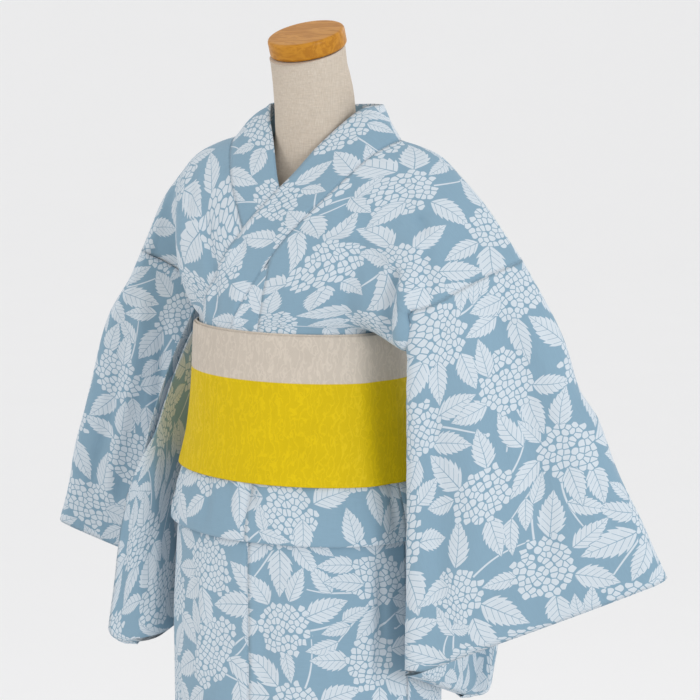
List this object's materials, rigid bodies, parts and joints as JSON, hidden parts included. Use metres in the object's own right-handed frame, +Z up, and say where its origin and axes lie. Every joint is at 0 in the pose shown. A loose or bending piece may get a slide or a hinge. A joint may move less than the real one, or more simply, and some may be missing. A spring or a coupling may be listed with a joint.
{
  "type": "cotton yukata robe with obi on a limbless dress form",
  "caption": "Light-blue cotton yukata robe with a hydrangea print, crossed left over right and tied with an ivory and yellow obi, on a limbless dress form with a wooden neck cap and a stand.",
  "frame": {"origin": "centre of the stand's underside, on the floor", "axes": "+Z up; -Y is the front of the robe; +X is the wearer's left"},
  "size_m": [0.8641, 0.3347, 1.4606],
  "materials": {
    "yukata_cotton": "matt plain cotton, light blue with an off-white print",
    "obi_cloth": "satin woven figure, ivory above and yellow below",
    "form_linen": "matt plain linen cover",
    "cap_wood": "gloss varnish",
    "stand_steel": "satin"
  },
  "bodies": {
    "root": {"body_left": "yukata_cotton", "body_right": "yukata_cotton", "okumi_left": "yukata_cotton", "okumi_right": "yukata_cotton", "collar": "yukata_cotton", "sleeve_left": "yukata_cotton", "sleeve_right": "yukata_cotton", "obi_inner_wrap": "obi_cloth", "obi_outer_wrap": "obi_cloth", "obi_fold": "obi_cloth", "obi_knot": "obi_cloth", "form_torso": "form_linen", "form_cap": "cap_wood", "form_pole": "stand_steel", "form_base": "stand_steel"}
  },
  "joints": []
}
